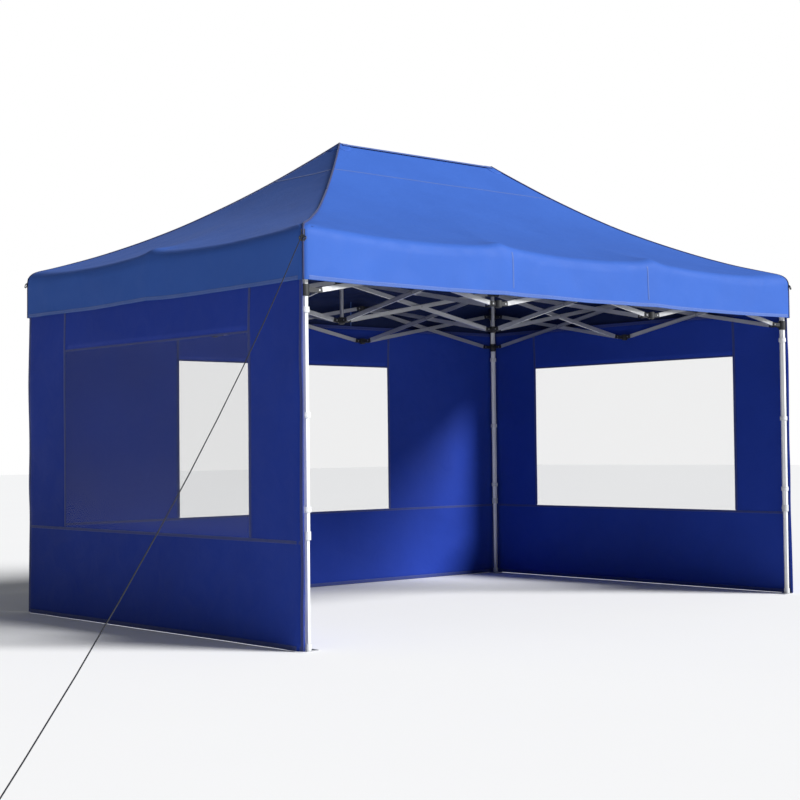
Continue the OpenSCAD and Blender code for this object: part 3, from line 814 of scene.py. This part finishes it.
# seam ring a quarter of a metre under the ridge
k_seam = min(range(R), key=lambda k: abs(ROWS[k][1] - 2.90) + (9 if ROWS[k][0] == 0 else 0))
ring_pts = [G[k_seam, c] for c in range(COLS)]
ring_up = [Vector(G[k_seam + 1, c]) - Vector(G[k_seam - 1, c]) for c in range(COLS)]
cuts = [0] + [c + 1 for c in corner_col]
cols_done = 0
edges_of_side = {0: (0, N_LONG)}
c0 = 0
side_cols = []
for side, count in ((0, N_LONG), (1, N_SHORT), (2, N_LONG), (3, N_SHORT)):
    side_cols.append(list(range(c0, c0 + count + 1)))
    c0 += count + 1 + N_ARC - 1
for side, cols in enumerate(side_cols):
    name = ("front", "right", "back", "left")[side]
    cols2 = cols[::4]
    if cols2[-1] != cols[-1]:
        cols2.append(cols[-1])
    o = strip("roof_seam_" + name, [Vector(G[k_seam, c]) for c in cols2], [ring_up[c] for c in cols2], 0.012, 0.0030, M_roof_tape)
    on_row(o, "middle")

# hem of the valance, and a stitched line above it
for side, cols in enumerate(side_cols):
    name = ("front", "right", "back", "left")[side]
    pts = [G[1, c] * 0.55 + G[0, c] * 0.45 for c in cols]
    pts = [p + np.array([0, 0, 0.0]) for p in pts]
    nn = {0: (0, 0.0006, 0), 1: (-0.0006, 0, 0), 2: (0, -0.0006, 0), 3: (0.0006, 0, 0)}[side]
    for s, (row, part) in enumerate(split_rows([p + np.array(nn) for p in pts])):
        if len(part) > 1:
            on_row(strip("hem_%s_%d" % (name, s + 1), part, (0, 0, 1), 0.022, 0.0036, M_hem), row)

# vertical valance seams beside the middle hubs
for x in (-0.65, 0.65):
    for side, key in ((0, "front"), (2, "back")):
        cols = side_cols[side]
        c = min(cols, key=lambda c: abs(G[0, c, 0] - x))
        pts = [Vector(G[k, c]) for k in range(2, 13)]
        o = strip("valance_seam_%s_%s" % (key, "left" if x < 0 else "right"), pts, (1, 0, 0), 0.011, 0.0030, M_roof_tape)
        on_row(o, key)

# peak patches: doubled cloth over each mast head, a rounded cap that follows the roof
for sx, key in ((-1, "left"), (1, "right")):
    verts, faces, uvs = [], [], []
    rings, segs = 6, 36

    def surf(x, y):
        tx = (AX - abs(x)) / (AX - RX)
        ty = (BY - abs(y)) / BY
        t = min(1.0, tx, ty)
        return roof_z(t)

    cx = sx * RX
    allp = [(cx, 0.0)]
    for k in range(1, rings + 1):
        for s in range(segs):
            g = 2 * math.pi * s / segs
            rad = 0.075 * k / rings
            allp.append((cx + rad * math.cos(g), rad * math.sin(g)))
    top = [(x, y, surf(x, y) + 0.0042 - (0.0012 if i > segs * (rings - 1) else 0)) for i, (x, y) in enumerate(allp)]
    bot = [(x, y, surf(x, y) + 0.0002) for x, y in allp]
    n0 = len(top)
    verts = top + bot
    for s in range(segs):
        s2 = (s + 1) % segs
        faces.append((0, 1 + s, 1 + s2))
        faces.append((n0, n0 + 1 + s2, n0 + 1 + s))
        for k in range(rings - 1):
            a, b = 1 + k * segs, 1 + (k + 1) * segs
            faces.append((a + s, b + s, b + s2, a + s2))
            faces.append((n0 + a + s2, n0 + b + s2, n0 + b + s, n0 + a + s))
        b = 1 + (rings - 1) * segs
        faces.append((b + s, n0 + b + s, n0 + b + s2, b + s2))
    uvs = [(verts[i][0], verts[i][1]) for f in faces for i in f]
    on_row(new_object("peak_patch_" + key, verts, faces, M_roof, uvs), "middle")

# corner loops: webbing tab with a black toggle ring at each eave corner
corner_body = {"front_left": "leg_front_left", "front_right": "leg_front_right", "back_left": "leg_back_left", "back_right": "leg_back_right"}
for (sx, sy), key in {(-1, -1): "front_left", (1, -1): "front_right", (-1, 1): "back_left", (1, 1): "back_right"}.items():
    out = Vector((sx, sy, 0)).normalized()
    sid = Vector((-sy, sx, 0)).normalized()
    base = Vector((sx * (AX - 0.0117), sy * (BY - 0.0117), 0))
    pts = [base + out * a + Vector((0, 0, z)) for a, z in ((-0.001, 2.272), (0.0022, 2.262), (0.0030, 2.250), (0.0058, 2.240), (0.0100, 2.2350), (0.0118, 2.2300), (0.0090, 2.2255), (0.0045, 2.2250), (0.0024, 2.2180), (0.0018, 2.205))]
    o = strip("corner_tab_" + key, pts, sid, 0.022, 0.0016, M_web)
    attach(o, corner_body[key])
    ring = []
    c = base + out * 0.0135 + Vector((0, 0, 2.2305))
    for k in range(20):
        g = 2 * math.pi * k / 20
        ring.append(c + sid * (0.0185 * math.cos(g)) + (out * 0.35 + Vector((0, 0, -0.94))) * (0.0150 * math.sin(g) + 0.009))
    o = tube("corner_ring_" + key, ring, 0.0034, M_black, 8, closed=True)
    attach(o, corner_body[key])

# rope's knot at the corner ring
start = ROUTE[0]
along = (ROUTE[1] - ROUTE[0]).normalized()
side_dir = along.cross(Vector((0, 0, 1))).normalized()
third = side_dir.cross(along)
knot = []
for k in range(44):
    g = 2 * math.pi * k / 44
    knot.append(start + along * (0.016 + 0.009 * math.sin(2 * g)) + side_dir * (0.0065 * math.cos(g) * (1.3 + 0.35 * math.cos(3 * g))) + third * (0.0065 * math.sin(g) * (1.3 + 0.35 * math.sin(3 * g))))
knot_obj = tube("rope_knot", knot, 0.0025, M_rope, 8, closed=True)
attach(knot_obj, "leg_front_left")

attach(rope, "leg_front_left")
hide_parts("guy_rope")
# the peg stays on its rope: both go with the leg that the rope is tied to
peg = bpy.data.objects.new("ground_peg", NODES["guy_peg"].data.copy())
scene.collection.objects.link(peg)
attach(peg, "leg_front_left")
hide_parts("guy_peg")

# ---------------------------------------------------------------- walls
WALL_TOP, WALL_GAP, SEAM_Z = 2.070, 0.0015, 0.583
WIN_Z0, WIN_Z1, WIN_W = 0.591, 1.746, 2.045


def wall_spec(name):
    if name == "left":
        return dict(origin=Vector((-CX - 0.032, 0, 0)), e=Vector((0, 1, 0)), n=Vector((-1, 0, 0)), half=CY + 0.022, body="leg_front_left", sq=((0, 1, 0), (0, -CY, 0), 0.157), seed=5)
    if name == "right":
        return dict(origin=Vector((CX + 0.032, 0, 0)), e=Vector((0, 1, 0)), n=Vector((1, 0, 0)), half=CY + 0.022, body="leg_front_right", sq=((0, 1, 0), (0, -CY, 0), 0.157), seed=31)
    return dict(origin=Vector((0, CY + 0.032, 0)), e=Vector((1, 0, 0)), n=Vector((0, 1, 0)), half=CX + 0.026, body="leg_back_left", sq=((1, 0, 0), (-CX, 0, 0), 0.1485), seed=77)


def wall_push(spec, h, z):
    """how far the cloth stands out from its flat place: never in towards the legs"""
    s = spec["seed"]
    half = spec["half"]
    edge = half - abs(h)
    slow = 0.5 + 0.5 * soft(h, z, 0, 0.9, s)
    mid = 0.5 + 0.5 * soft(h, z * 0.6, 0, 2.4, s + 9)
    near = math.exp(-edge / 0.16)
    folds = 0.5 + 0.5 * math.sin(z * 9.0 + 2.2 * soft(h, z, 0, 1.5, s + 3) + 14 * edge)
    in_window = max(0.0, 1 - max(0, abs(h) - WIN_W / 2) / 0.12) * max(0.0, 1 - max(0, WIN_Z0 - z, z - WIN_Z1) / 0.12)
    lower = 1.0 if z > SEAM_Z else 0.0
    flap = 0.0
    if z < SEAM_Z:
        q = (SEAM_Z - z) / SEAM_Z
        flap = 0.012 * q ** 1.5 * (0.5 + 0.5 * soft(h, 0, 0, 1.8, s + 21)) + 0.004 * q
    p = 0.010 * slow + 0.009 * mid * (1 - 0.6 * in_window) + 0.010 * near * folds + flap
    pin = min(1.0, edge / 0.03) * 0.8 + 0.2
    top = min(1.0, max(0.0, (WALL_TOP - 0.09 - z) / 0.22))
    return p * pin * (0.06 + 0.94 * top)


def wall_point(spec, h, z, extra=0.0):
    return spec["origin"] + spec["e"] * h + Vector((0, 0, z)) + spec["n"] * (wall_push(spec, h, z) + extra)


def on_wall(o, spec):
    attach(o, spec["body"])
    squash(o, *spec["sq"])
    return o


def wall_lines(lo, hi, marks, step):
    vals = [lo, hi] + [m for m in marks if lo < m < hi]
    vals = sorted(set(round(v, 6) for v in vals))
    out = []
    for a, b in zip(vals, vals[1:]):
        k = max(1, int(round((b - a) / step)))
        out += [a + (b - a) * i / k for i in range(k)]
    out.append(vals[-1])
    return out


def sheet_mesh(name, spec, hs, zs, keep, thick, material, extra=0.0):
    ids, verts, faces = {}, [], []
    for a in range(len(hs) - 1):
        for b in range(len(zs) - 1):
            if not keep((hs[a] + hs[a + 1]) / 2, (zs[b] + zs[b + 1]) / 2):
                continue
            f = []
            for i, k in ((a, b), (a + 1, b), (a + 1, b + 1), (a, b + 1)):
                if (i, k) not in ids:
                    ids[(i, k)] = len(verts)
                    verts.append((hs[i], zs[k]))
                f.append(ids[(i, k)])
            faces.append(tuple(f))
    P = [wall_point(spec, h, z, extra) for h, z in verts]
    # outward normal by finite differences
    N = []
    for h, z in verts:
        e = 0.004
        du = wall_point(spec, h + e, z) - wall_point(spec, h - e, z)
        dv = wall_point(spec, h, min(z + e, 3)) - wall_point(spec, h, z - e)
        n = du.cross(dv).normalized()
        N.append(n if n.dot(spec["n"]) > 0 else -n)
    test = (P[faces[0][1]] - P[faces[0][0]]).cross(P[faces[0][2]] - P[faces[0][0]])
    if test.dot(spec["n"]) < 0:
        faces = [tuple(reversed(f)) for f in faces]
    allv, allf, uvs, _ = thicken([tuple(p) for p in P], faces, lambda i, k: verts[i], [tuple(n) for n in N], thick)
    return new_object(name, allv, allf, material, uvs)


WALLS = {}
for name in ("left", "back", "right"):
    spec = wall_spec(name)
    half = spec["half"]
    w = WIN_W / 2
    hs = wall_lines(-half, half, (-w, w, -w - 0.03, w + 0.03), 0.045)
    zs = wall_lines(WALL_GAP, WALL_TOP, (SEAM_Z, WIN_Z0, WIN_Z1), 0.045)
    inside = lambda h, z: abs(h) < w and WIN_Z0 < z < WIN_Z1
    cloth = sheet_mesh(name + "_wall_cloth", spec, hs, zs, lambda h, z: not inside(h, z), 0.0012, M_wall)
    film = sheet_mesh(name + "_window_film", spec, wall_lines(-w - 0.012, w + 0.012, (), 0.045), wall_lines(WIN_Z0 - 0.006, WIN_Z1 + 0.012, (), 0.045), lambda h, z: True, 0.0006, M_film, extra=-0.0004)
    on_wall(cloth, spec)
    on_wall(film, spec)
    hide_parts(name + "_wall")
    WALLS[name] = (spec, cloth, film)
    trims = []

    def wall_tape(tag, ends, across, width, thick=0.0040):
        (h0, z0), (h1, z1) = ends
        k = max(2, int(max(abs(h1 - h0), abs(z1 - z0)) / 0.05))
        pts = [wall_point(spec, h0 + (h1 - h0) * i / k, z0 + (z1 - z0) * i / k, -0.0006) for i in range(k + 1)]
        o = strip(name + "_" + tag, pts, across, width, thick, M_wall_tape)
        on_wall(o, spec)
        trims.append(o)

    e = spec["e"]
    up_dir = Vector((0, 0, 1))
    wall_tape("skirt_seam", ((-half + 0.004, SEAM_Z), (half - 0.004, SEAM_Z)), up_dir, 0.018)
    wall_tape("window_head", ((-w - 0.010, WIN_Z1 + 0.003), (w + 0.010, WIN_Z1 + 0.003)), up_dir, 0.012, 0.0028)
    wall_tape("window_side_1", ((-w - 0.004, WIN_Z0 + 0.004), (-w - 0.004, WALL_TOP - 0.01)), e, 0.022)
    wall_tape("window_side_2", ((w + 0.004, WIN_Z0 + 0.004), (w + 0.004, WALL_TOP - 0.01)), e, 0.022)
    wall_tape("edge_1", ((-half + 0.013, WALL_GAP + 0.004), (-half + 0.013, WALL_TOP - 0.004)), e, 0.024)
    wall_tape("edge_2", ((half - 0.013, WALL_GAP + 0.004), (half - 0.013, WALL_TOP - 0.004)), e, 0.024)
    wall_tape("ground_hem", ((-half + 0.002, WALL_GAP + 0.014), (half - 0.002, WALL_GAP + 0.014)), up_dir, 0.026)
    wall_tape("top_hem", ((-half + 0.002, WALL_TOP - 0.014), (half - 0.002, WALL_TOP - 0.014)), up_dir, 0.026)
    WALLS[name] = (spec, cloth, film, trims)

# hook-and-loop straps that hold the walls' edges to the legs
for (i, j), c in corner_names.items():
    sx, sy = (-1 if i == 0 else 1), (-1 if j == 0 else 1)
    for k, z in enumerate((0.76, 1.27, 1.84)):
        pts, ac = [], []
        steps = 26
        for s in range(steps + 1):
            g = math.radians(-20 + 400 * s / steps)
            rad = 0.0240 + 0.0020 * s / steps
            pts.append(Vector((XS[i] + sx * rad * math.cos(g), YS[j] + sy * rad * math.sin(g), z)))
        o = strip("leg_strap_%s_%d" % (c, k + 1), pts, (0, 0, 1), 0.030, 0.0018, M_strap)
        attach(o, "leg_" + c)

# ---------------------------------------------------------------- cross trusses from the peak hubs to the long sides
for src, tag, dx, anchor in (
    ("left_front", "left_front_truss", 1.485, -CX),
    ("left_back", "left_back_truss", 1.485, -CX),
    ("right_front", "right_front_truss", -1.485, CX),
    ("right_back", "right_back_truss", -1.485, CX),
):
    for ab in ("a", "b"):
        base = NODES["%s_bar_%s" % (src, ab)]
        me = base.data.copy()
        me.transform(Matrix.Translation((dx, 0, 0)))
        o = bpy.data.objects.new("%s_bar_%s" % (tag, ab), me)
        scene.collection.objects.link(o)
        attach(o, "%s_bar_%s" % (src, ab))
        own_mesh(o)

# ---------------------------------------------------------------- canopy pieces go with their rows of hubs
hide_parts("canopy")
for row, o in canopy.items():
    on_row(o, row)
for row, o in canopy.items():
    a = float(o["cloth_area"])
for name, (spec, cloth, film, trims) in WALLS.items():
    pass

# ---------------------------------------------------------------- floor and light
bmf = bmesh.new()
bmesh.ops.create_grid(bmf, x_segments=8, y_segments=8, size=60)
me = bpy.data.meshes.new("floor")
bmf.to_mesh(me)
bmf.free()
mf, tf, bf = nodes_of("floor_paint")
nf = node(tf, "ShaderNodeTexNoise", Scale=0.6, Detail=2.0)
link(tf, node(tf, "ShaderNodeTexCoord").outputs["Object"], nf.inputs["Vector"])
link(tf, tinted(tf, nf.outputs["Fac"], (0.935, 0.935, 0.94), (0.955, 0.955, 0.955)), bf.inputs["Base Color"])
bf.inputs["Roughness"].default_value = 0.85
bf.inputs["Specular IOR Level"].default_value = 0.1
me.materials.append(mf)
floor = bpy.data.objects.new("floor", me)
floor.location = (0, 0, -0.0005)
scene.collection.objects.link(floor)

world = bpy.data.worlds.new("studio")
scene.world = world
world.use_nodes = True
wt = world.node_tree
wt.nodes.clear()
wo = wt.nodes.new("ShaderNodeOutputWorld")
dim = wt.nodes.new("ShaderNodeBackground")
dim.inputs["Color"].default_value = (0.93, 0.96, 1.0, 1)
dim.inputs["Strength"].default_value = 0.16
white = wt.nodes.new("ShaderNodeBackground")
white.inputs["Color"].default_value = (1, 1, 1, 1)
white.inputs["Strength"].default_value = 1.0
mixw = wt.nodes.new("ShaderNodeMixShader")
lp = wt.nodes.new("ShaderNodeLightPath")
wt.links.new(lp.outputs["Is Camera Ray"], mixw.inputs[0])
wt.links.new(dim.outputs[0], mixw.inputs[1])
wt.links.new(white.outputs[0], mixw.inputs[2])
wt.links.new(mixw.outputs[0], wo.inputs[0])


def lamp(name, kind, energy, direction, angle=0.2, size=4.0, at=None, color=(1, 1, 1)):
    l = bpy.data.lights.new(name, kind)
    l.energy = energy
    l.color = color
    if kind == "SUN":
        l.angle = angle
    else:
        l.shape = "SQUARE"
        l.size = size
    o = bpy.data.objects.new(name, l)
    v = -Vector(direction).normalized()
    o.rotation_euler = v.to_track_quat("-Z", "Y").to_euler()
    if at:
        o.location = at
    scene.collection.objects.link(o)
    return o


lamp("key", "SUN", 5.2, (0.45, -0.75, 0.52), angle=0.40)
scene.view_settings.view_transform = "Standard"
scene.view_settings.look = "None"
scene.view_settings.exposure = 0.0
